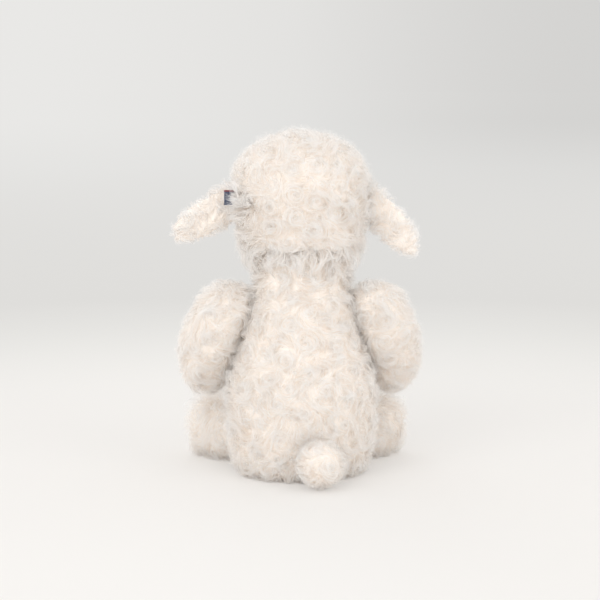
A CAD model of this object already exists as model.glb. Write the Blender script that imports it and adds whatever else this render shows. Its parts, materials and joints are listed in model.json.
"""Plush sheep seen from behind: curled long pile, short pile, stitched face and ribbon tag on the frame."""

import json
import math

import bpy
import numpy as np
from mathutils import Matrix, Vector
from mathutils.bvhtree import BVHTree

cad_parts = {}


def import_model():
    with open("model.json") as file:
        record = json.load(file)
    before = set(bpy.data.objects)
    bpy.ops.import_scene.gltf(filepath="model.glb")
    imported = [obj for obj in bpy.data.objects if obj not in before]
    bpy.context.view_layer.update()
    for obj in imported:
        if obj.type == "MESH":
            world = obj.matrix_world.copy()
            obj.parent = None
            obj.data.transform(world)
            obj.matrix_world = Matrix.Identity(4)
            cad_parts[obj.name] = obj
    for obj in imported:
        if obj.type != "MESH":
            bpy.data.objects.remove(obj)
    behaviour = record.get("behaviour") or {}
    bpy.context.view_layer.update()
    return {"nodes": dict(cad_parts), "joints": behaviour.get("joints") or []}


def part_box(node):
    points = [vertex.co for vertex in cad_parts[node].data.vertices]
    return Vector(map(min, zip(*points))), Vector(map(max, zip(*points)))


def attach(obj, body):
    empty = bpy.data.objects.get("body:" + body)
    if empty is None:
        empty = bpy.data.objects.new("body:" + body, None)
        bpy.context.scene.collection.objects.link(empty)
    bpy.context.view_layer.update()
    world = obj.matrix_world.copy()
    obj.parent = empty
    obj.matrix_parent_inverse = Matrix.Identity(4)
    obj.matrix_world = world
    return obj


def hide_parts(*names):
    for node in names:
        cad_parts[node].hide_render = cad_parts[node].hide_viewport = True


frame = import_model()

MM = 0.001
SIDES = {1: "left", -1: "right"}  # the sign of X, and the sheep's own side

# Forms
ROWS, COLUMNS = 64, 128  # of the grid of directions that a form's radii are kept on
OUTSIDE = 3  # half sizes from a form's middle, where the rays that measure it start
BROAD_BLUR = 0.22  # in radians, enough to smooth the mounds away
SLOPE_STEP = 0.03  # half sizes
BOX_SLACK = 1.08  # a form's box is taken this much larger, for its rounded skin
TRIES = 4  # scattered points that are tried for each square of the spacing
CLOSEST = 0.8  # spacings that scattered points keep from each other
NEIGHBOURS = [(a, b, c) for a in (-1, 0, 1) for b in (-1, 0, 1) for c in (-1, 0, 1)]

# Covers
SKIN_ROWS, SKIN_COLUMNS = 48, 96
LUMP_SIZE = 7 * MM
WAVES = 24  # that are added up to a smooth random height
FLOOR_GAP = 0.3 * MM
TAG_SHORTER = 3 * MM  # the ribbon's fold is turned in by this much more than the solid's

# Strands
STEPS = 6  # points along a strand
STRAND_MAP = "OFBake"  # across it goes a strand's tone, and up it the place along the strand
MAP_EDGE = 0.01  # left free round the map
WHORL_REACH = 0.62  # whorl spacings over which a whorl's pull fades
CLUMP_CELL = 2 * MM  # cubes in which crowding counts guides
MOST_PUSHED = 6 * MM  # a strand is moved out of a neighbour by no more than this


# Numbers and vectors


def unit(v):
    return v / np.maximum(np.linalg.norm(v, axis=-1, keepdims=True), 1e-12)


def dot(a, b):
    return (a * b).sum(-1, keepdims=True)


def smooth_step(x):
    x = np.clip(x, 0, 1)
    return x * x * (3 - 2 * x)


def node_mesh(node):
    mesh = frame["nodes"][node].data
    points = np.empty(len(mesh.vertices) * 3, np.float32)
    mesh.vertices.foreach_get("co", points)
    mesh.calc_loop_triangles()
    faces = np.empty(len(mesh.loop_triangles) * 3, np.int32)
    mesh.loop_triangles.foreach_get("vertices", faces)
    return points.reshape(-1, 3).astype(float), faces.reshape(-1, 3)


def joined_mesh(nodes):
    points, faces, count = [], [], 0
    for node in nodes:
        p, f = node_mesh(node)
        points.append(p)
        faces.append(f + count)
        count += len(p)
    return np.vstack(points), np.vstack(faces)


def distance_to(nodes):
    """A function that gives each point's distance to some CAD nodes."""
    points, faces = joined_mesh(nodes)
    tree = BVHTree.FromPolygons(points.tolist(), faces.tolist())
    return lambda places: np.array([tree.find_nearest(p)[3] for p in places.tolist()])


# Forms: the smooth outside of a stuffed part, as a radius for each direction from its middle


def directions(down, turn):
    """Unit vectors at angles down from the pole and round it."""
    return np.stack([np.sin(down) * np.cos(turn), np.sin(down) * np.sin(turn), np.cos(down)], -1)


def even_directions(rows, columns):
    down = (np.arange(rows) + 0.5) / rows * math.pi
    turn = np.arange(columns) / columns * math.tau
    return directions(*np.meshgrid(down, turn, indexing="ij"))


class Form:
    """The outer skin of some CAD nodes, measured by rays and smoothed."""

    def __init__(self, nodes, axes=None, blur=0.07, hang=0.0):
        """With a hang, the form also reaches that far straight down, for pile that falls over an edge."""
        points, faces = joined_mesh(nodes)
        if hang:
            faces = np.vstack([faces, faces + len(points)])
            points = np.vstack([points, points - [0, 0, hang]])
        self.axes = np.eye(3) if axes is None else np.array(axes, float)
        local = points @ self.axes.T
        low, high = local.min(0), local.max(0)
        self.middle, self.half = (low + high) / 2, (high - low) / 2
        tree = BVHTree.FromPolygons(((local - self.middle) / self.half).tolist(), faces.tolist())
        self.theta = (np.arange(ROWS) + 0.5) / ROWS * math.pi
        phi = np.arange(COLUMNS) / COLUMNS * math.tau
        radii = np.ones((ROWS, COLUMNS))
        for i, down in enumerate(self.theta):
            for j, turn in enumerate(phi):
                flat = math.sin(down)
                way = Vector((flat * math.cos(turn), flat * math.sin(turn), math.cos(down)))
                hit = tree.ray_cast(way * OUTSIDE, -way)[0]
                radii[i, j] = hit.length if hit else 1
        self.radii = self.closed(self.blurred(radii, blur))
        self.broad = self.closed(self.blurred(radii, BROAD_BLUR))

    def blurred(self, radii, spread):
        """The grid smoothed by a spread in radians, round the form and then over its ends."""
        waves = np.fft.fftfreq(COLUMNS, 1 / COLUMNS)[None]
        fade = np.exp(-0.5 * (waves * spread / np.sin(self.theta)[:, None]) ** 2)
        radii = np.fft.ifft(np.fft.fft(radii, axis=1) * fade, axis=1).real
        half = COLUMNS // 2
        circles = np.vstack([radii[:, :half], radii[::-1, half:]])
        waves = np.fft.fftfreq(2 * ROWS, 1 / (2 * ROWS))[:, None]
        fade = np.exp(-0.5 * (waves * spread) ** 2)
        circles = np.fft.ifft(np.fft.fft(circles, axis=0) * fade, axis=0).real
        return np.hstack([circles[:ROWS], circles[ROWS:][::-1]])

    def closed(self, radii):
        """The grid with its edges repeated, so that reading between its points needs no special case."""
        rolled = np.roll(radii, COLUMNS // 2, axis=1)
        tall = np.vstack([rolled[:1], radii, rolled[-1:]])
        return np.hstack([tall, tall[:, :1]])

    def radius(self, way, r=None):
        """Radius for unit directions in the form's own stretched space."""
        r = self.radii if r is None else r
        down = np.arccos(np.clip(way[..., 2], -1, 1)) / math.pi * ROWS + 0.5
        turn = (np.arctan2(way[..., 1], way[..., 0]) % math.tau) / math.tau * COLUMNS
        i = np.clip(down.astype(int), 0, ROWS)
        j = np.clip(turn.astype(int), 0, COLUMNS - 1)
        a, b = down - i, turn - j
        top = r[i, j] * (1 - b) + r[i, j + 1] * b
        low = r[i + 1, j] * (1 - b) + r[i + 1, j + 1] * b
        return top * (1 - a) + low * a

    def local(self, points):
        return (points @ self.axes.T - self.middle) / self.half

    def world(self, local):
        return (local * self.half + self.middle) @ self.axes

    def mound(self, points):
        """How far a mound of the skin stands over the broad form, in shares of its radius."""
        way = unit(self.local(points))
        return self.radius(way) - self.radius(way, self.broad)

    def level(self, local):
        """How far places in the stretched space lie over the skin."""
        size = np.linalg.norm(local, axis=-1)
        return size - self.radius(local / np.maximum(size, 1e-9)[..., None])

    def slope(self, local):
        """The level's change per metre, in the toy's frame."""
        change = []
        for move in np.eye(3) * SLOPE_STEP:
            change.append((self.level(local + move) - self.level(local - move)) / (2 * SLOPE_STEP))
        return (np.stack(change, -1) / self.half) @ self.axes

    def onto(self, points):
        """The skin's places over or under some points."""
        return self.places(unit(self.local(points)))

    def normals(self, points):
        return unit(self.slope(self.local(points)))

    def depth(self, points):
        """Height above the skin in metres, and the way out. Below it the height is negative."""
        local = self.local(points)
        slope = self.slope(local)
        size = np.linalg.norm(slope, axis=-1)
        return self.level(local) / np.maximum(size, 1e-6), slope / np.maximum(size, 1e-6)[..., None]

    def near(self, points, reach):
        """Which points lie in the form's box, grown by a reach."""
        return (np.abs(points @ self.axes.T - self.middle) < self.half * BOX_SLACK + reach).all(-1)

    def places(self, way):
        """The skin's places in some directions."""
        return self.world(way * self.radius(way)[..., None])

    def scatter(self, spacing, random, mounds_first=False):
        """Points over the skin, about a spacing apart, in random order or on the mounds first."""
        place = self.places(even_directions(ROWS, COLUMNS))
        downs = np.gradient(place, axis=0)
        turns = (np.roll(place, -1, axis=1) - np.roll(place, 1, axis=1)) / 2
        area = np.linalg.norm(np.cross(downs, turns), axis=-1).ravel()
        count = int(area.sum() / spacing**2 * TRIES)
        cells = random.choice(len(area), count, p=area / area.sum())
        down = (cells // COLUMNS + random.random(count)) / ROWS * math.pi
        turn = (cells % COLUMNS + random.random(count) - 0.5) / COLUMNS * math.tau
        points = self.places(directions(down, turn))
        if mounds_first:
            points = points[np.argsort(-self.mound(points), kind="stable")]
        return spread_out(points, spacing * CLOSEST)


def spread_out(points, spacing):
    """The points that keep at least a spacing from those before them."""
    cell = np.floor(points / spacing).astype(int)
    kept, table = [], {}
    limit = spacing**2
    for n, ((x, y, z), p) in enumerate(zip(cell.tolist(), points.tolist())):
        close = (q for a, b, c in NEIGHBOURS for q in table.get((x + a, y + b, z + c), ()))
        if all((p[0] - q[0]) ** 2 + (p[1] - q[1]) ** 2 + (p[2] - q[2]) ** 2 >= limit for q in close):
            table.setdefault((x, y, z), []).append(p)
            kept.append(n)
    return points[kept]


# Meshes


def new_piece(name, points, faces, finish, body, uv=None):
    """A smooth mesh piece that rides on a body. A face's row ends in -1 where it has a corner less."""
    mesh = bpy.data.meshes.new(name)
    counts = (faces >= 0).sum(1)
    corners = faces[faces >= 0]
    mesh.vertices.add(len(points))
    mesh.vertices.foreach_set("co", np.asarray(points, np.float32).ravel())
    mesh.loops.add(len(corners))
    mesh.loops.foreach_set("vertex_index", corners.astype(np.int32))
    mesh.polygons.add(len(faces))
    starts = np.concatenate([[0], np.cumsum(counts)[:-1]])
    mesh.polygons.foreach_set("loop_start", starts.astype(np.int32))
    mesh.update(calc_edges=True)
    mesh.validate()
    if uv is not None:
        layer = mesh.uv_layers.new(name=STRAND_MAP)
        layer.uv.foreach_set("vector", np.asarray(uv, np.float32)[corners].ravel())
    mesh.shade_smooth()
    mesh.materials.append(finish)
    piece = bpy.data.objects.new(name, mesh)
    bpy.context.scene.collection.objects.link(piece)
    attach(piece, body)
    return piece


def ball_faces(rows, columns):
    """Faces over a grid of rows and columns that closes round, with a point at each end."""
    i, j = np.meshgrid(np.arange(rows - 1), np.arange(columns), indexing="ij")
    i, j = i.ravel(), j.ravel()
    k = (j + 1) % columns
    quads = np.stack([i * columns + j, (i + 1) * columns + j, (i + 1) * columns + k, i * columns + k], -1)
    j = np.arange(columns)
    k = (j + 1) % columns
    none = np.full(columns, -1)
    top = np.stack([np.full(columns, rows * columns), j, k, none], -1)
    last = (rows - 1) * columns
    low = np.stack([np.full(columns, rows * columns + 1), last + k, last + j, none], -1)
    return np.vstack([quads, top, low])


def lumps(points, size, strength, seed):
    """A smooth random height for each point, with lumps of about a size."""
    random = np.random.default_rng(seed)
    total = np.zeros(points.shape[:-1])
    for _ in range(WAVES):
        wave = random.normal(size=3) * math.tau / size / 1.7
        total += np.sin(points @ wave + random.random() * math.tau)
    return total / math.sqrt(WAVES / 2) * strength


def skin(name, form, body, finish, sink=0.4 * MM, lump=0.5 * MM, seed=1):
    """The backing cloth of a stuffed part, or its filling, closed all round."""
    place = form.places(even_directions(SKIN_ROWS, SKIN_COLUMNS)).reshape(-1, 3)
    place = np.vstack([place, form.places(np.array([[0, 0, 1.0], [0, 0, -1.0]]))])
    place = place + form.normals(place) * (lumps(place, LUMP_SIZE, lump, seed) - sink)[:, None]
    place[:, 2] = np.maximum(place[:, 2], FLOOR_GAP / 2)
    return new_piece(name, place, ball_faces(SKIN_ROWS, SKIN_COLUMNS), finish, body)


# Strands


def push_clear(points, others):
    """Points moved out of other forms by their margins, so that pile lies against a neighbour and not in it."""
    for other, margin in others:
        inside = other.near(points, margin)
        if not inside.any():
            continue
        chosen = points[inside]
        height, out = other.depth(chosen)
        short = np.clip(margin - height, 0, MOST_PUSHED)
        points[inside] = chosen + out * short[:, None]
    return points


def ribbons(name, paths, widths, bases, tone, finish, body):
    """Thin flat strands along paths, each lying on the skin as far as it can and ending in a point."""
    count, steps = paths.shape[:2]
    along = unit(np.gradient(paths, axis=1))
    across = unit(np.cross(along, bases)) * widths[..., None]
    left, right = paths - across, paths + across
    points = np.stack([left[:, :-1], right[:, :-1]], 2).reshape(count, (steps - 1) * 2, 3)
    points = np.concatenate([points, paths[:, -1:]], 1)
    points[..., 2] = np.maximum(points[..., 2], FLOOR_GAP)
    each = (steps - 1) * 2 + 1
    faces = [(2 * i, 2 * i + 1, 2 * i + 3, 2 * i + 2) for i in range(steps - 2)]
    faces.append((each - 3, each - 2, each - 1, -1))
    faces = np.array(faces)
    every = faces[None] + (np.arange(count) * each)[:, None, None] * (faces >= 0)[None]
    v = np.concatenate([np.repeat(np.linspace(0, 1, steps)[:-1], 2), [1.0]])
    uv = np.stack([np.repeat(tone[:, None], each, 1), np.repeat(v[None], count, 0)], -1).reshape(-1, 2)
    uv = uv * (1 - 2 * MAP_EDGE) + MAP_EDGE
    new_piece(name, points.reshape(-1, 3), every.reshape(-1, 4), finish, body, uv)


def pick(values, share):
    """Values along strands, read at a share of their length by straight lines. values is (n, steps, ...)."""
    at = np.clip(share, 0, 1) * (values.shape[1] - 1)
    i = np.minimum(at.astype(int), values.shape[1] - 2)
    t = (at - i)[..., None]
    rows = np.arange(len(values))[:, None]
    return values[rows, i] * (1 - t) + values[rows, i + 1] * t


def at_roots(value, roots):
    """What a look says at each root, by a number or by a function of the place."""
    return value(roots)[:, None] if callable(value) else value


def curls(form, roots, look, random):
    """Guide strands that wander over the skin and wind round the nearest whorl.

    It also gives their normals, and how far inside its whorl each root is, from 0 at the border to 1.
    Close to a whorl's middle the strands are shorter and drawn in, so that the middle isn't left bare.
    """
    whorls = form.scatter(look["whorl"], random, mounds_first=True)
    turns = np.where(random.random(len(whorls)) < 0.5, 1.0, -1.0)
    gaps = np.linalg.norm(roots[:, None] - whorls[None], axis=-1)
    order = np.argsort(gaps, axis=1)[:, :2]
    rows = np.arange(len(roots))
    first, second = gaps[rows, order[:, 0]], gaps[rows, order[:, 1]]
    inner = np.clip((second - first) / (second + first), 0, 1)
    middle, spin = whorls[order[:, 0]], turns[order[:, 0]][:, None]
    off_middle = first / look["whorl"]
    tight = 0.5 + 0.5 * smooth_step(off_middle * 2.2)[:, None]
    draw = look["draw"] * (1 + 2.5 * smooth_step(1.3 - off_middle * 3.2)[:, None])
    length = look["length"] * at_roots(look["longer"], roots) * tight
    length = length * (0.75 + 0.5 * random.random((len(roots), 1)))
    own = random.normal(size=(len(roots), 3)) * look["own"]
    phase = random.random((len(roots), 1)) * math.tau
    pace = 3 + 4 * random.random((len(roots), 1))
    comb = np.array(look["way"]) * at_roots(look["comb"], roots)
    place, normal, way = roots, form.normals(roots), None
    path, normals = [place], [normal]
    for k in range(1, STEPS):
        arm = place - middle
        arm = arm - dot(arm, normal) * normal
        distance = np.linalg.norm(arm, axis=-1, keepdims=True)
        arm = arm / np.maximum(distance, 1e-9)
        hold = look["hold"] * np.exp(-((distance / look["whorl"] / WHORL_REACH) ** 2))
        drift = [lumps(place, look["swirl"], look["drift"], look["seed"] + n) for n in (50, 51, 52)]
        aim = spin * np.cross(normal, arm) * hold - arm * hold * draw + np.stack(drift, -1) + own
        aim = aim + comb
        aim = aim + np.cross(normal, unit(aim)) * look["wavy"] * np.sin(phase + pace * k / STEPS * 2)
        aim = unit(aim - dot(aim, normal) * normal)
        way = aim if way is None else unit(way + aim * 0.9)
        place = form.onto(place + way * length / (STEPS - 1))
        normal = form.normals(place)
        path.append(place)
        normals.append(normal)
    path, normal = np.stack(path, 1), np.stack(normals, 1)
    t = np.linspace(0, 1, STEPS)[None]
    flat = 0.85 + 0.2 * smooth_step(inner * 1.6)[:, None]
    tall = look["height"] * flat * tight * at_roots(look["taller"], roots)
    tall = tall * (0.8 + 0.35 * random.random((len(roots), 1)))
    rise = 1 - (1 - t) ** 2.0
    rise = rise - look["tuck"] * np.clip(t - 0.6, 0, 1) ** 1.2 * random.random((len(roots), 1))
    path = path + normal * (tall * rise - look["root"])[..., None]
    return path, normal, inner


def crowding(form, roots, guides):
    """How many points of the guides' outer parts pass over the few millimetres round each root."""
    table = {}
    for key in np.floor(form.onto(guides[:, 2:].reshape(-1, 3)) / CLUMP_CELL).astype(int).tolist():
        table[tuple(key)] = table.get(tuple(key), 0) + 1
    cells = np.floor(roots / CLUMP_CELL).astype(int).tolist()
    return np.array([sum(table.get((x + a, y + b, z + c), 0) for a, b, c in NEIGHBOURS) for x, y, z in cells])


def guided(form, look, others, random):
    """Roots over a form, clear of its neighbours, and their guides, with straight ones where these are thin."""
    roots = form.scatter(look["spacing"], random)
    if look["where"]:
        roots = roots[look["where"](roots)]
    for other, _ in others:
        height, _ = other.depth(roots)
        roots = roots[~(other.near(roots, 1 * MM) & (height < 0.4 * MM))]
    made = curls(form, roots, look, random)
    if not look["filled"]:
        return roots, *made
    crowd = crowding(form, roots, made[0])
    bare = roots[crowd < look["filled"] * np.median(crowd)]
    straight = {**look, "hold": 0, "drift": 0, "own": 2.0, "length": look["length"] * 0.6,
                "height": look["height"] * 0.8}
    more = curls(form, bare, straight, random)
    return np.vstack([roots, bare]), *(np.concatenate(pair) for pair in zip(made, more))


def fur(name, form, body, finish, look, others=(), cuts=()):
    """Pile on a form, as locks of crimped strands along guides that are wound into whorls.

    With cuts, heights in metres, it is made in parts, front and back between each two of them, so that no
    mesh grows too heavy.
    """
    random = np.random.default_rng(look["seed"])
    roots, guides, normal, inner = guided(form, look, others, random)
    many, threads = look["strands"], look["threads"]
    guide = np.repeat(np.arange(len(roots)), many)
    count = len(guide)
    thread = guide * threads + np.arange(count) % many % threads
    total = len(roots) * threads

    def spread(low, high):
        """A random value for each thread, the same for all of its strands."""
        return (low + (high - low) * random.random((total, 1)))[thread]

    def bell():
        return random.normal(size=(total, 1))[thread]

    along = unit(np.gradient(guides, axis=1))[guide]
    base = normal[guide]
    side = unit(np.cross(along, base))
    reach = look["spacing"] * 0.7
    angle = spread(0, math.tau)
    out = np.sqrt(spread(0, 1)) * reach
    share = np.linspace(0, 1, STEPS)[None] * (spread(0.72, 0.94) + 0.06 * random.random((count, 1)))
    path = pick(guides[guide], share)
    base = unit(pick(base, share))
    side = unit(pick(side, share))
    lead = np.cross(base, side)
    t = np.linspace(0, 1, STEPS)[None]
    if look["rooted"]:
        drop = look["rooted"].onto(roots) - roots
        path = path + drop[guide][:, None] * ((1 - t) ** 2)[..., None]
    clump = 1 - look["clump"] * smooth_step(t * 1.1)
    fray = look["fray"] * t**1.5
    fine = look["fine"] * (0.6 + 0.8 * t)
    a = np.cos(angle) * out * clump + bell() * fray + random.normal(size=(count, 1)) * fine
    b = np.sin(angle) * out * clump + bell() * fray + random.normal(size=(count, 1)) * fine
    c = bell() * fray * 0.6 + random.normal(size=(count, 1)) * fine * 0.5
    turn = t * spread(6, 12) * np.sign(bell()) + spread(0, math.tau)
    size = look["crimp"] * spread(0.5, 1.3) * np.sqrt(t)
    a = a + size * np.sin(turn)
    c = c + size * 0.7 * np.cos(turn)
    path = path + side * a[..., None] + lead * b[..., None] + base * c[..., None]
    stray = random.random(count) < look["stray"]
    path = path + base * (stray[:, None] * t**1.3 * look["height"] * 0.5)[..., None]
    flat = push_clear(path.reshape(-1, 3), others)
    path = flat.reshape(path.shape)
    path[..., 2] = np.maximum(path[..., 2], FLOOR_GAP + 0.4 * MM * random.random((count, 1)))
    free = np.ones(count, bool)
    for centre, radius in look["avoid"]:
        free &= np.linalg.norm(path - centre, axis=-1).min(1) > radius
    width = look["width"] * (0.7 + 0.6 * random.random((count, 1))) * np.where(stray, 0.6, 1.0)[:, None]
    radii = width * (1 - 0.72 * t**1.4)
    mound = smooth_step(inner * 1.7)[guide]
    lock = random.random(len(roots))[guide]
    tone = 0.45 + 0.25 * mound + 0.25 * lock + 0.32 * bell()[:, 0] + 0.1 * random.normal(size=count)
    tone = np.clip(tone, 0, 1)
    facing = base + side * (look["tilt"] * bell())[..., None]
    if not cuts:
        ribbons(name, path[free], radii[free], facing[free], tone[free], finish, body)
        return
    layers = len(cuts) + 1
    sector = (path[:, 0, 1] > 0) * layers + np.searchsorted(cuts, path[:, 0, 2])
    for part in range(2 * layers):
        chosen = (sector == part) & free
        ribbons(f"{name}_{part + 1}", path[chosen], radii[chosen], facing[chosen], tone[chosen], finish, body)


# Materials


def node_material(name, roughness, sheen=0.0):
    made = bpy.data.materials.new(name)
    made.use_nodes = True
    tree = made.node_tree
    shader = tree.nodes["Principled BSDF"]
    shader.inputs["Roughness"].default_value = roughness
    if sheen:
        shader.inputs["Sheen Weight"].default_value = sheen
        shader.inputs["Sheen Roughness"].default_value = 0.5
    return made, tree, shader


def add(tree, kind, **values):
    node = tree.nodes.new(kind)
    for key, value in values.items():
        if key in node.inputs:
            node.inputs[key].default_value = value
        else:
            setattr(node, key, value)
    return node


def ramp(tree, source, stops):
    node = tree.nodes.new("ShaderNodeValToRGB")
    while len(node.color_ramp.elements) < len(stops):
        node.color_ramp.elements.new(0.5)
    for element, (at, colour) in zip(node.color_ramp.elements, stops):
        element.position = at
        element.color = (*colour, 1)
    tree.links.new(source, node.inputs["Fac"])
    return node.outputs["Color"]


def mix(tree, share, first, second):
    node = tree.nodes.new("ShaderNodeMix")
    node.data_type = "RGBA"
    for key, value in ((0, share), (6, first), (7, second)):
        if isinstance(value, (int, float)):
            node.inputs[key].default_value = value
        elif isinstance(value, tuple):
            node.inputs[key].default_value = (*value, 1)
        else:
            tree.links.new(value, node.inputs[key])
    return node.outputs[2]


def pile_material(name, root, middle, tip, low_root, low_tip):
    """Pile coloured along each strand, and by its place in the whorl, from the strand's own map."""
    made, tree, shader = node_material(name, 0.9, 0.12)
    place = add(tree, "ShaderNodeUVMap", uv_map=STRAND_MAP)
    parts = add(tree, "ShaderNodeSeparateXYZ")
    tree.links.new(place.outputs["UV"], parts.inputs[0])
    high = ramp(tree, parts.outputs["Y"], [(0.0, root), (0.45, middle), (1.0, tip)])
    low = ramp(tree, parts.outputs["Y"], [(0.0, low_root), (1.0, low_tip)])
    colour = mix(tree, parts.outputs["X"], low, high)
    tree.links.new(colour, shader.inputs["Base Color"])
    through = tree.nodes.new("ShaderNodeBsdfTranslucent")
    tree.links.new(colour, through.inputs["Color"])
    two_shaders(tree, 0.65, shader, through, "Material Output")
    return made


def ranged(tree, source, low, high, **values):
    """A value mapped smoothly from 0 at low to 1 at high."""
    node = add(tree, "ShaderNodeMapRange", **{"interpolation_type": "SMOOTHSTEP", **values})
    node.inputs["From Min"].default_value = low
    node.inputs["From Max"].default_value = high
    tree.links.new(source, node.inputs["Value"])
    return node.outputs[0]


def maths(tree, operation, first, second):
    """A sum on a node's value and a number, or on two nodes' values."""
    node = add(tree, "ShaderNodeMath", operation=operation)
    tree.links.new(first, node.inputs[0])
    if isinstance(second, (int, float)):
        node.inputs[1].default_value = second
    else:
        tree.links.new(second, node.inputs[1])
    return node.outputs[0]


def two_shaders(tree, share, first, second, end):
    """Two shaders mixed by a share, a number or a node's value, into the material's or world's end."""
    both = tree.nodes.new("ShaderNodeMixShader")
    if isinstance(share, (int, float)):
        both.inputs[0].default_value = share
    else:
        tree.links.new(share, both.inputs[0])
    tree.links.new(first.outputs[0], both.inputs[1])
    tree.links.new(second.outputs[0], both.inputs[2])
    tree.links.new(both.outputs[0], tree.nodes[end].inputs["Surface"])


def raise_surface(tree, height, shader, strength, distance):
    bump = add(tree, "ShaderNodeBump", Strength=strength, Distance=distance)
    tree.links.new(height, bump.inputs["Height"])
    tree.links.new(bump.outputs["Normal"], shader.inputs["Normal"])


def cloth_material(name, first, second, scale, bump, roughness=0.95):
    """Cloth, fibre or moulded plastic, whose colour and surface vary by noise."""
    made, tree, shader = node_material(name, roughness)
    place = tree.nodes.new("ShaderNodeTexCoord")
    noise = add(tree, "ShaderNodeTexNoise", Scale=scale, Detail=5.0, Roughness=0.6)
    tree.links.new(place.outputs["Object"], noise.inputs["Vector"])
    colour = ramp(tree, noise.outputs["Fac"], [(0.32, first), (0.68, second)])
    tree.links.new(colour, shader.inputs["Base Color"])
    if bump:
        raise_surface(tree, noise.outputs["Fac"], shader, bump, 0.4 * MM)
    return made


CREAM_TIP = (0.985, 0.993, 0.998)
CREAM_MIDDLE = (0.988, 0.990, 0.990)
CREAM_ROOT = (0.986, 0.972, 0.958)
LOW_ROOT = (0.965, 0.895, 0.83)
LOW_TIP = (0.978, 0.952, 0.925)

long_pile = pile_material("long_pile_fur", CREAM_ROOT, CREAM_MIDDLE, CREAM_TIP, LOW_ROOT, LOW_TIP)
backing = cloth_material("plush_backing", (0.91, 0.84, 0.77), (0.94, 0.88, 0.82), 900.0, 0.5)
short_pile = pile_material("short_pile_fur", (0.88, 0.81, 0.73), (0.93, 0.89, 0.84), (0.95, 0.92, 0.88),
                           (0.84, 0.76, 0.68), (0.93, 0.89, 0.84))
fibre = cloth_material("stuffing_fibre", (0.80, 0.80, 0.78), (0.90, 0.90, 0.89), 1400.0, 0.8)
bag_cloth = cloth_material("bag_cotton", (0.62, 0.58, 0.50), (0.72, 0.69, 0.61), 2600.0, 0.6)
eye_plastic = cloth_material("eye_plastic", (0.010, 0.008, 0.007), (0.016, 0.012, 0.010), 300.0, 0.0, 0.07)
washer_plastic = cloth_material("washer_plastic", (0.76, 0.76, 0.73), (0.82, 0.82, 0.80), 700.0, 0.15, 0.45)
thread_finish = cloth_material("stitch_thread", (0.30, 0.16, 0.12), (0.46, 0.29, 0.23), 1600.0, 0.5, 0.7)


# Small hard and stitched pieces


def turned(name, centre, axis, profile, sides, finish, body):
    """A smooth round piece about an axis, from (height, radius) pairs that start at its top."""
    across = unit(np.cross(axis, [0, 0, 1.0]))
    turn = np.arange(sides)[:, None] / sides * math.tau
    outward = across * np.cos(turn) + np.cross(axis, across) * np.sin(turn)
    rows = [centre + axis * height + outward * radius for height, radius in profile]
    ends = [centre + axis * profile[0][0], centre + axis * profile[-1][0]]
    return new_piece(name, np.vstack([*rows, *ends]), ball_faces(len(profile), sides), finish, body)


def eye_axis(label):
    """The washer's middle, and the way from there to the eye's front."""
    washer, _ = node_mesh(f"eye_washer_{label}")
    points, _ = node_mesh(f"eye_{label}")
    return washer.mean(0), unit(points.mean(0) - washer.mean(0))


def safety_eye(label):
    """A polished dome with a softened rim, on a ridged shank."""
    centre, axis = eye_axis(label)
    points, _ = node_mesh(f"eye_{label}")
    height = (points - centre) @ axis
    radius = np.linalg.norm(points - centre - height[:, None] * axis, axis=-1)
    wide, top, foot = radius.max(), height.max(), height.min()
    rim = height[radius > wide * 0.98].min()
    shank = radius[height < foot + 0.5 * MM].max()
    soft = 0.4 * MM
    profile = []
    for turn in np.linspace(0.05, 1, 14) * math.pi / 2:
        profile.append((rim + soft + (top - rim - soft) * math.cos(turn), wide * math.sin(turn)))
    for turn in np.linspace(0.25, 1, 4) * math.pi / 2:
        profile.append((rim + soft * (1 - math.sin(turn)), wide - soft * (1 - math.cos(turn))))
    profile.append((rim, shank * 1.3))
    ridges = 12
    for n in range(ridges + 1):
        at = rim - 0.4 * MM + (foot - rim + 0.4 * MM) * n / ridges
        profile.append((at, shank * (0.9 if n % 2 else 1.0)))
    piece = turned(f"eye_dome_{label}", centre, axis, profile, 40, eye_plastic, "head")
    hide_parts(f"eye_{label}")


def threads(name, lines, radius, facing, finish, body):
    """Rounded threads along lines, as closed tubes that draw in at both ends."""
    sides = 8
    points, faces, count = [], [], 0
    turn = np.arange(sides)[:, None] / sides * math.tau
    for line in lines:
        along = unit(np.gradient(line, axis=0))
        across = unit(np.cross(along, facing))
        up = np.cross(across, along)
        swell = np.sqrt(np.clip(1 - np.linspace(-1, 1, len(line)) ** 8, 0.04, 1))
        round_it = across[:, None] * np.cos(turn) + up[:, None] * np.sin(turn)
        rows = line[:, None] + round_it * (radius * swell)[:, None, None]
        points += [rows.reshape(-1, 3), line[:1], line[-1:]]
        tube = ball_faces(len(line), sides)
        faces.append(np.where(tube < 0, -1, tube + count))
        count += len(line) * sides + 2
    new_piece(name, np.vstack(points), np.vstack(faces), finish, body)


def satin_nose():
    """Upright satin stitches, side by side over the padded nose."""
    points, faces = node_mesh("nose_stitching")
    tree = BVHTree.FromPolygons(points.tolist(), faces.tolist())
    low, high = points.min(0), points.max(0)
    lines = []
    for across in np.linspace(low[0] + 0.35 * MM, high[0] - 0.35 * MM, 19):
        line = []
        for up in np.linspace(low[2], high[2], 60):
            hit, normal, _, _ = tree.ray_cast(Vector((across, low[1] - 5 * MM, up)), Vector((0, 1, 0)))
            if hit is not None:
                line.append(np.array(hit) + np.array(normal) * 0.05 * MM)
        if len(line) > 8:
            line = np.array(line)[:: max(1, len(line) // 14)]
            lines.append(line)
    threads("nose_threads", lines, 0.46 * MM, (0, -1.0, 0), thread_finish, "head")


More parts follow.
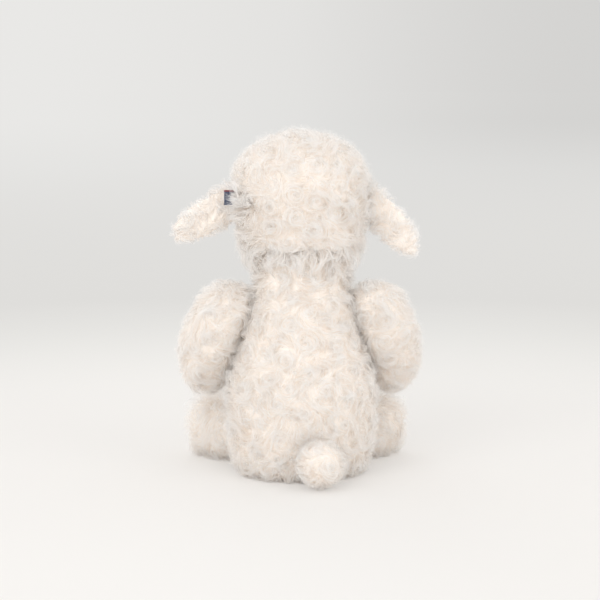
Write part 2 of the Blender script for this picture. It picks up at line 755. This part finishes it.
def welded(points, faces):
    """A mesh whose corners that share a place are one."""
    _, first, back = np.unique(np.round(points, 6), axis=0, return_index=True, return_inverse=True)
    faces = back.reshape(-1)[faces]
    whole = (faces[:, 0] != faces[:, 1]) & (faces[:, 1] != faces[:, 2]) & (faces[:, 0] != faces[:, 2])
    return points[first], faces[whole]


def pad(name, node, body, finish):
    """A soft pad in the shape of its CAD solid, rounded and a little fuller."""
    points, faces = welded(*node_mesh(node))
    sides = points[faces]
    area = np.cross(sides[:, 1] - sides[:, 0], sides[:, 2] - sides[:, 0])
    normal = np.zeros_like(points)
    for corner in range(3):
        np.add.at(normal, faces[:, corner], area)
    points = points + unit(normal) * (0.15 * MM)
    piece = new_piece(name, points, faces, finish, body)
    rounder = piece.modifiers.new("rounder", "SUBSURF")
    rounder.levels = rounder.render_levels = 2
    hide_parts(node)


def ribbon_tag():
    """A folded loop of woven ribbon with a raised selvedge and a slight wave."""
    points, _ = node_mesh("ear_tag")
    low, high = points.min(0), points.max(0)
    half, thin = (high[1] - low[1]) / 2, 0.38 * MM
    root, tip = low[0] - 1.5 * MM, high[0] - TAG_SHORTER - half
    turn = np.linspace(-math.pi / 2, math.pi / 2, 9)[:, None]
    fold = np.hstack([np.cos(turn), np.sin(turn)])
    straight = np.linspace(root, tip, 8)[:-1, None]

    def side(reach):
        low_run = np.hstack([straight, np.full_like(straight, -reach)])
        high_run = np.hstack([straight[::-1], np.full_like(straight, reach)])
        return np.vstack([low_run, fold * reach + [tip, 0], high_run])

    levels = np.concatenate([[0, 0.02, 0.05], np.linspace(0.1, 0.9, 9), [0.95, 0.98, 1]])
    rows = []
    for level in levels:
        edge = min(level, 1 - level)
        bead = 0.10 * MM if 0.01 < edge < 0.06 else 0.0
        outer, inner = side(half + bead), side(half - thin - bead)
        loop = np.vstack([outer, inner[::-1]])
        wave = 0.35 * MM * np.sin((loop[:, :1] - root) / (tip - root) * 4 + level * 1.5)
        place = np.hstack([loop[:, :1], loop[:, 1:] + wave + (low[1] + high[1]) / 2, np.zeros((len(loop), 1))])
        place[:, 2] = low[2] + (high[2] - low[2]) * level
        rows.append(place)
    count, total = len(rows[0]) // 2, len(rows[0])
    faces = []
    for k in range(len(levels) - 1):
        for i in range(total):
            j = (i + 1) % total
            faces.append((k * total + i, k * total + j, (k + 1) * total + j, (k + 1) * total + i))
    last = (len(levels) - 1) * total
    for i in range(count - 1):
        far, near = total - 1 - i, total - 2 - i
        faces.append((i, far, near, i + 1))
        faces.append((last + i, last + i + 1, last + near, last + far))
    piece = new_piece("tag_ribbon", np.vstack(rows), np.array(faces), tag_weave(high[2]), "head")
    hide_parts("ear_tag")


def tag_weave(top):
    """Navy ribbon, woven in fine ribs, with a thin dark red line along its upper edge."""
    made, tree, shader = node_material("tag_weave", 0.75, 0.1)
    place = tree.nodes.new("ShaderNodeTexCoord")
    parts = add(tree, "ShaderNodeSeparateXYZ")
    tree.links.new(place.outputs["Object"], parts.inputs[0])
    ribs = add(tree, "ShaderNodeTexWave", Scale=420.0, Distortion=0.6, bands_direction="Z")
    cross = add(tree, "ShaderNodeTexWave", Scale=300.0, Distortion=0.6, bands_direction="X")
    for wave in (ribs, cross):
        tree.links.new(place.outputs["Object"], wave.inputs["Vector"])
    woven = mix(tree, 0.5, ribs.outputs["Color"], cross.outputs["Color"])
    navy = ramp(tree, woven, [(0.2, (0.040, 0.050, 0.085)), (0.8, (0.075, 0.092, 0.145))])
    red = ramp(tree, woven, [(0.2, (0.16, 0.030, 0.035)), (0.8, (0.26, 0.055, 0.06))])
    edge = maths(tree, "GREATER_THAN", parts.outputs["Z"], top - 1.0 * MM)
    tree.links.new(mix(tree, edge, navy, red), shader.inputs["Base Color"])
    raise_surface(tree, woven, shader, 0.5, 0.1 * MM)
    return made


def finish_node(node, finish):
    for slot in frame["nodes"][node].material_slots:
        slot.link = "OBJECT"
        slot.material = finish


# The parts' forms


def long_axes(node):
    """Axes of a long part, the third one along it."""
    points, _ = node_mesh(node)
    _, _, rows = np.linalg.svd(points - points.mean(0), full_matrices=False)
    along, second = rows[0], rows[1]
    return np.array([second, np.cross(along, second), along])


joint_axis = {j["name"]: np.array(j["axis"], float) for j in frame["joints"]}
joint_place = {j["name"]: np.array(j["pos_m"], float) for j in frame["joints"]}

forms = {
    "torso": Form(["torso_cover", "torso_filling", "neck_wad"], blur=0.045),
    "head": Form(["head_cover", "head_filling"], blur=0.045),
    "hung_head": Form(["head_cover", "head_filling"], blur=0.045, hang=14 * MM),
    "tail": Form(["tail_cover", "tail_filling"], blur=0.10),
    "muzzle": Form(["muzzle_cover", "muzzle_filling"], blur=0.09),
}
for label in SIDES.values():
    limb = [f"arm_cover_{label}", f"arm_filling_{label}"]
    forms[f"arm_{label}"] = Form(limb, long_axes(limb[0]), 0.09)
    hip_axis = -joint_axis[f"{label}_leg_lift"]
    leg_axes = np.array([hip_axis, np.cross([0, 0, 1.0], hip_axis), [0, 0, 1.0]])
    leg = [f"leg_cover_{label}", f"leg_filling_{label}", f"sole_{label}"]
    forms[f"leg_{label}"] = Form(leg, leg_axes, 0.09)
    forms[f"ear_{label}"] = Form([f"ear_{label}", f"ear_lining_{label}"], long_axes(f"ear_{label}"), 0.10)

BODY_OF = {
    "torso": "torso", "head": "head", "tail": "tail", "muzzle": "head",
    "arm_left": "left_arm", "arm_right": "right_arm", "leg_left": "left_leg", "leg_right": "right_leg",
    "ear_left": "left_ear", "ear_right": "right_ear",
}

LOOK = {
    "whorl": 17 * MM, "spacing": 2.2 * MM, "strands": 8, "length": 13 * MM, "height": 6.0 * MM,
    "hold": 1.4, "draw": 0.45, "comb": 0.25, "way": (0, 0, -1), "tuck": 0.5, "clump": 0.35, "fray": 0.5 * MM,
    "crimp": 0.45 * MM, "stray": 0.12, "width": 0.125 * MM, "seed": 1, "where": None, "tilt": 0.8,
    "swirl": 16 * MM, "drift": 0.6, "own": 0.12, "wavy": 0.4, "longer": 1, "taller": 1, "rooted": None,
    "root": 0.9 * MM, "avoid": (), "threads": 4, "fine": 0.10 * MM, "filled": 0.6,
}
SHORT_LOOK = {
    **LOOK, "whorl": 12 * MM, "spacing": 1.15 * MM, "strands": 4, "length": 2.0 * MM, "height": 1.0 * MM,
    "hold": 0.1, "draw": 0.0, "comb": 0.5, "clump": 0.2, "fray": 0.3 * MM, "crimp": 0.1 * MM, "stray": 0.1,
    "width": 0.09 * MM, "drift": 0.4, "own": 0.3, "wavy": 0.2, "root": 0.2 * MM, "fine": 0.1 * MM, "filled": 0,
}

# Backing cloth of each part, under the pile

COVERS = {
    "torso": "torso_cover", "head": "head_cover", "tail": "tail_cover", "muzzle": "muzzle_cover",
    "arm_left": "arm_cover_left", "arm_right": "arm_cover_right",
    "leg_left": "leg_cover_left", "leg_right": "leg_cover_right",
    "ear_left": "ear_left", "ear_right": "ear_right",
}
for name, cover in COVERS.items():
    cloth = skin(f"{name}_backing", forms[name], BODY_OF[name], backing, seed=len(name))
    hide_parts(cover)

# Filling in each part

FILLINGS = {
    "torso_filling": "torso", "head_filling": "head", "muzzle_filling": "head", "tail_filling": "tail",
    "neck_wad": "neck", "arm_filling_left": "left_arm", "arm_filling_right": "right_arm",
    "leg_filling_left": "left_leg", "leg_filling_right": "right_leg",
}
for node, body in FILLINGS.items():
    axes = long_axes(node) if node.startswith(("arm", "leg")) else None
    wad = skin(f"{node}_fibre", Form([node], axes, 0.06), body, fibre, 0.5 * MM, 0.3 * MM, len(node))
    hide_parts(node)
bag = skin("bean_bag_cotton", Form(["bean_bag"], blur=0.05), "torso", bag_cloth, 0.3 * MM, 0.25 * MM)
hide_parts("bean_bag")

# Face, tag, soles and ear linings

for label in SIDES.values():
    safety_eye(label)
    finish_node(f"eye_washer_{label}", washer_plastic)
    pad(f"sole_pad_{label}", f"sole_{label}", f"{label}_leg", backing)
    pad(f"ear_lining_pad_{label}", f"ear_lining_{label}", f"{label}_ear", backing)
satin_nose()
finish_node("nose_stitching", thread_finish)
finish_node("mouth_stitching", thread_finish)
ribbon_tag()


# Pile


def beside(*names, margin=0.5 * MM):
    return [(forms[n], margin) for n in names]


def from_floor(points, height, span):
    """1 below a height, and 0 a span above it."""
    return smooth_step((height + span - points[:, 2]) / span)


def from_top(points, height, span):
    """1 above a height, and 0 a span below it."""
    return smooth_step((span - height + points[:, 2]) / span)


off_eyes = distance_to(["eye_left", "eye_right"])
off_stitches = distance_to(["nose_stitching", "mouth_stitching"])
eye_balls = []
for label in SIDES.values():
    eye_middle, eye_way = eye_axis(label)
    eye_points, _ = node_mesh(f"eye_{label}")
    eye_front = ((eye_points - eye_middle) @ eye_way).max()
    eye_balls.append((eye_middle + eye_way * (eye_front - 1 * MM), 4.8 * MM))
head_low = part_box("head_cover")[0][2]
tag_low, tag_high = (np.array(corner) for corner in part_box("ear_tag"))


def behind_tag(points):
    """1 where the head's pile must stand out to cover the ribbon's sewn end from behind, and 0 away from it."""
    place = np.array([tag_low[0] - 1 * MM, tag_high[1] + 7 * MM, (tag_low[2] + tag_high[2]) / 2 - 2 * MM])
    return np.exp(-((np.linalg.norm(points - place, axis=-1) / (10 * MM)) ** 2))


fur("torso_fur", forms["torso"], "torso", long_pile, {
    **LOOK, "seed": 3, "height": 7 * MM,
    "comb": lambda p: 0.25 - 0.9 * from_top(p, head_low - 4 * MM, 16 * MM),
    "taller": lambda p: 1 + 0.8 * from_top(p, head_low - 4 * MM, 16 * MM),
}, beside("head", "arm_left", "arm_right", "leg_left", "leg_right", "tail"), (55 * MM, 100 * MM))
fur("head_fur", forms["hung_head"], "head", long_pile, {
    **LOOK, "seed": 5, "height": 7 * MM, "avoid": eye_balls, "rooted": forms["head"],
    "comb": lambda p: 0.1 + 0.6 * from_floor(p, head_low + 4 * MM, 16 * MM),
    "longer": lambda p: 1 + 0.3 * from_floor(p, head_low + 8 * MM, 12 * MM),
    "taller": lambda p: 1 + 1.2 * behind_tag(p),
    "where": lambda p: (off_eyes(p) > 2 * MM) & (p[:, 2] > head_low - 1 * MM),
}, beside("muzzle", "ear_left", "ear_right") + beside("torso", margin=2.5 * MM), (212 * MM,))
fur("tag_tuft", forms["head"], "head", long_pile, {
    **LOOK, "seed": 7, "spacing": 1.0 * MM, "height": 11 * MM, "length": 11 * MM, "way": (1, 0.3, -0.15),
    "comb": 2.5, "where": lambda p: behind_tag(p) > 0.55,
}, beside("ear_left"))
for side, label in SIDES.items():
    arm_low, arm_high = (corner[2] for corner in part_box(f"arm_cover_{label}"))
    leg_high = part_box(f"leg_cover_{label}")[1][2]
    ear_root = joint_place[f"{label}_ear_flap"] + [side * 6 * MM, 6 * MM, 14 * MM]
    fur(f"arm_fur_{label}", forms[f"arm_{label}"], f"{label}_arm", long_pile, {
        **LOOK, "seed": 11 + side,
        "taller": lambda p: 1 + 0.45 * from_top(p, arm_high - 3 * MM, 16 * MM),
        "longer": lambda p: 1 + 0.4 * from_floor(p, arm_low + 6 * MM, 14 * MM),
        "comb": lambda p: 0.25 + 0.8 * from_floor(p, arm_low + 6 * MM, 14 * MM),
    }, beside("torso", f"leg_{label}"))
    off_sole = distance_to([f"sole_{label}"])
    fur(f"leg_fur_{label}", forms[f"leg_{label}"], f"{label}_leg", long_pile,
        {**LOOK, "seed": 15 + side, "height": 8.5 * MM, "length": 14 * MM, "strands": 6, "threads": 3,
         "taller": lambda p: 1 + 0.5 * from_top(p, leg_high - 2 * MM, 12 * MM),
         "where": lambda p: off_sole(p) > 2.0 * MM},
        beside("torso", f"arm_{label}"))
    fur(f"sole_pile_{label}", forms[f"leg_{label}"], f"{label}_leg", short_pile,
        {**SHORT_LOOK, "seed": 25 + side, "where": lambda p: off_sole(p) < 1.2 * MM})
    off_lining = distance_to([f"ear_lining_{label}"])
    fur(f"ear_fur_{label}", forms[f"ear_{label}"], f"{label}_ear", long_pile,
        {**LOOK, "seed": 19 + side, "height": 5.5 * MM, "length": 10 * MM,
         "taller": lambda p: 1 + 0.9 * np.exp(-((np.linalg.norm(p - ear_root, axis=-1) / (14 * MM)) ** 2)),
         "where": lambda p: off_lining(p) > 1.2 * MM}, beside("head"))
    fur(f"ear_lining_pile_{label}", forms[f"ear_{label}"], f"{label}_ear", short_pile,
        {**SHORT_LOOK, "seed": 35 + side, "where": lambda p: off_lining(p) < 0.8 * MM})
fur("tail_fur", forms["tail"], "tail", long_pile, {**LOOK, "seed": 31, "length": 12 * MM},
    beside("torso"))
fur("muzzle_pile", forms["muzzle"], "head", short_pile,
    {**SHORT_LOOK, "seed": 41, "where": lambda p: off_stitches(p) > 0.7 * MM}, beside("head"))


# Camera, floor and light

FLOOR_HALF = 8.0  # metres, as the next two
FLOOR_NEAR, FLOOR_FAR = 0.22, 0.85  # between these the floor turns from paper into the wall's tone
FLOOR_SOFTENED = 0.35  # how far the shadows close to the toy are softened
SHADED_SPAN = (0.15, 0.7)  # shares of the floor's size over which the side shade comes in
WALL_TONE = (0.77, 0.763, 0.748)
FLOOR_TONES = [
    (0.0, (0.90, 0.88, 0.85)), (0.05, (0.87, 0.86, 0.83)), (0.12, (0.74, 0.73, 0.71)),
    (0.4, (0.765, 0.76, 0.745)), (1.0, WALL_TONE),
]


def camera():
    turn, tilt, away = math.radians(177), math.radians(8), 1.5
    target = Vector((0.001, 0, 0.1317))
    back = Vector((math.sin(turn) * math.cos(tilt), -math.cos(turn) * math.cos(tilt), math.sin(tilt)))
    data = bpy.data.cameras.new("camera")
    data.lens = 120
    data.sensor_width = 36
    made = bpy.data.objects.new("camera", data)
    bpy.context.scene.collection.objects.link(made)
    made.location = target + back * away
    made.rotation_mode = "QUATERNION"
    made.rotation_quaternion = (-back).to_track_quat("-Z", "Y")
    bpy.context.scene.camera = made


def shade_by_side(tree, way, low, high):
    """A grey that falls off towards the sheep's right, for the far backdrop."""
    parts = add(tree, "ShaderNodeSeparateXYZ")
    tree.links.new(way, parts.inputs[0])
    across = ranged(tree, parts.outputs["X"], low, high)
    return ramp(tree, across, [(0.0, (0.86,) * 3), (0.5, (1.0,) * 3), (1.0, (1.06,) * 3)])


def paper(name, colour):
    """Floor paper: it takes shadows near the toy, and further out it shows the wall's tone to the camera."""
    made, tree, shader = node_material(name, 0.9)
    place = tree.nodes.new("ShaderNodeTexCoord")
    noise = add(tree, "ShaderNodeTexNoise", Scale=1.6, Detail=1.0)
    tree.links.new(place.outputs["Object"], noise.inputs["Vector"])
    near = ramp(tree, noise.outputs["Fac"], [(0.3, tuple(c * 0.985 for c in colour)), (0.7, colour)])
    tree.links.new(near, shader.inputs["Base Color"])
    away = add(tree, "ShaderNodeVectorMath", operation="LENGTH")
    tree.links.new(place.outputs["Object"], away.inputs[0])
    part = ranged(tree, away.outputs["Value"], FLOOR_NEAR, FLOOR_FAR, interpolation_type="SMOOTHERSTEP")
    part.node.inputs["To Min"].default_value = FLOOR_SOFTENED
    span = maths(tree, "DIVIDE", away.outputs["Value"], FLOOR_HALF)
    far = ramp(tree, span, FLOOR_TONES)
    turned_place = add(tree, "ShaderNodeVectorMath", operation="NORMALIZE")
    tree.links.new(place.outputs["Object"], turned_place.inputs[0])
    side_shade = shade_by_side(tree, turned_place.outputs[0], -0.24, 0.14)
    toned = mix(tree, ranged(tree, span, *SHADED_SPAN), far, side_shade)
    toned.node.blend_type = "MULTIPLY"
    glow = tree.nodes.new("ShaderNodeEmission")
    tree.links.new(toned, glow.inputs["Color"])
    path = tree.nodes.new("ShaderNodeLightPath")
    seen = maths(tree, "MULTIPLY", part, path.outputs["Is Camera Ray"])
    two_shaders(tree, seen, shader, glow, "Material Output")
    return made


def stage_floor():
    turns = [i / 96 * math.tau for i in range(96)]
    ring = [(FLOOR_HALF * math.cos(turn), FLOOR_HALF * math.sin(turn), 0.0) for turn in turns]
    mesh = bpy.data.meshes.new("floor")
    mesh.from_pydata(ring, [], [tuple(range(96))])
    floor = bpy.data.objects.new("floor", mesh)
    bpy.context.scene.collection.objects.link(floor)
    mesh.materials.append(paper("floor_paper", (0.86, 0.835, 0.81)))


def lamp(name, place, size, power, aim=(0, 0, 0.12)):
    data = bpy.data.lights.new(name, "AREA")
    data.shape = "DISK"
    data.size = size
    data.energy = power
    made = bpy.data.objects.new(name, data)
    bpy.context.scene.collection.objects.link(made)
    made.location = place
    made.rotation_mode = "QUATERNION"
    made.rotation_quaternion = (Vector(aim) - Vector(place)).to_track_quat("-Z", "Y")


def world():
    """Even white light, and the wall's tone where the camera looks past the floor."""
    made = bpy.data.worlds.new("studio")
    bpy.context.scene.world = made
    made.use_nodes = True
    tree = made.node_tree
    light = tree.nodes["Background"]
    light.inputs["Color"].default_value = (1.0, 1.0, 1.0, 1)
    light.inputs["Strength"].default_value = 0.88
    wall = tree.nodes.new("ShaderNodeBackground")
    place = tree.nodes.new("ShaderNodeTexCoord")
    toned = mix(tree, 1.0, WALL_TONE, shade_by_side(tree, place.outputs["Generated"], -0.20, 0.10))
    toned.node.blend_type = "MULTIPLY"
    tree.links.new(toned, wall.inputs["Color"])
    path = tree.nodes.new("ShaderNodeLightPath")
    two_shaders(tree, path.outputs["Is Camera Ray"], light, wall, "World Output")


camera()
stage_floor()
world()
lamp("key", (0.9, 1.5, 1.0), 1.6, 12.5)
lamp("fill", (-1.3, 1.2, 0.7), 1.4, 6)
lamp("rim", (0.5, -1.6, 1.1), 1.4, 3)
bpy.context.scene.view_settings.view_transform = "Standard"
